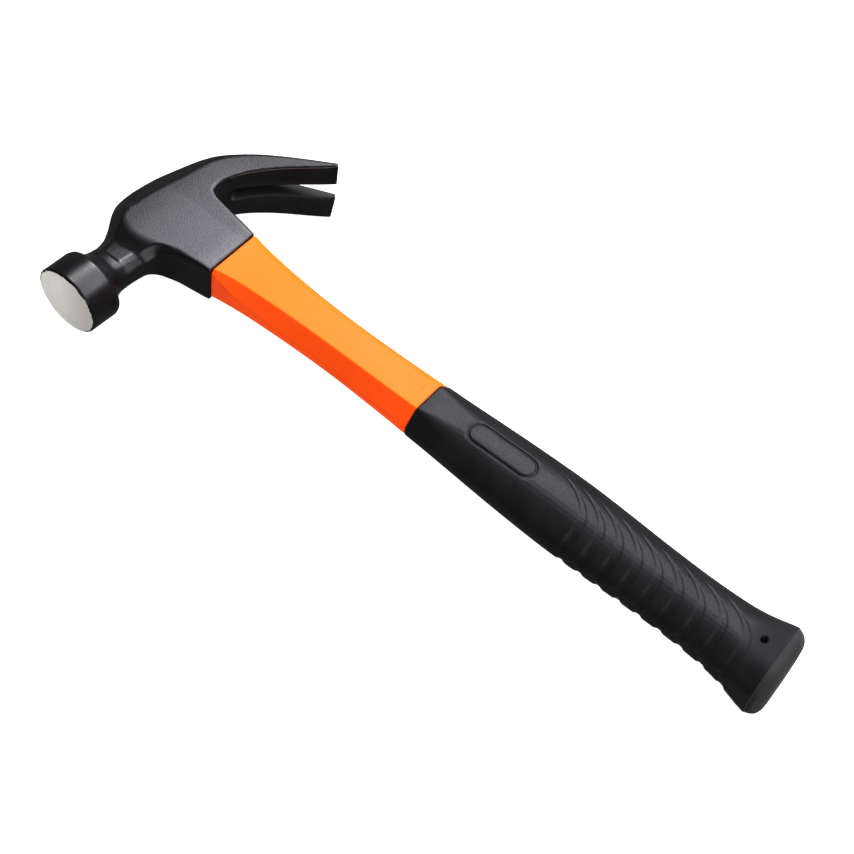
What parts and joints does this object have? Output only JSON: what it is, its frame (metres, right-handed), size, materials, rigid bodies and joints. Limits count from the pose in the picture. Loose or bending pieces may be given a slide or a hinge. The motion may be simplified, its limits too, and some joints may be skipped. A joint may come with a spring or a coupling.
{
  "type": "claw hammer",
  "caption": "Claw hammer: lacquered steel head with a ground face and curved claws, on a fibreglass handle with an orange jacket and a ridged rubber grip.",
  "frame": {"origin": "under the middle of the whole hammer's box, on the plane it rests on when it lies on its side", "axes": "+X from the head down the handle to the butt, +Y towards the claws, so -Y is the way the face strikes, +Z square to the cheeks and up"},
  "size_m": [0.3194, 0.1168, 0.0346],
  "materials": {
    "black_lacquer": "semi-gloss black lacquer on forged steel, with the striking face ground bare",
    "fibreglass": "pultruded rod, hidden",
    "epoxy": "cured amber epoxy",
    "orange_plastic": "satin moulded orange",
    "black_rubber": "satin moulded black rubber"
  },
  "bodies": {
    "root": {"hammer_head": "black_lacquer", "core_rod": "fibreglass", "eye_epoxy": "epoxy", "handle_jacket": "orange_plastic", "rubber_grip": "black_rubber"}
  },
  "joints": []
}
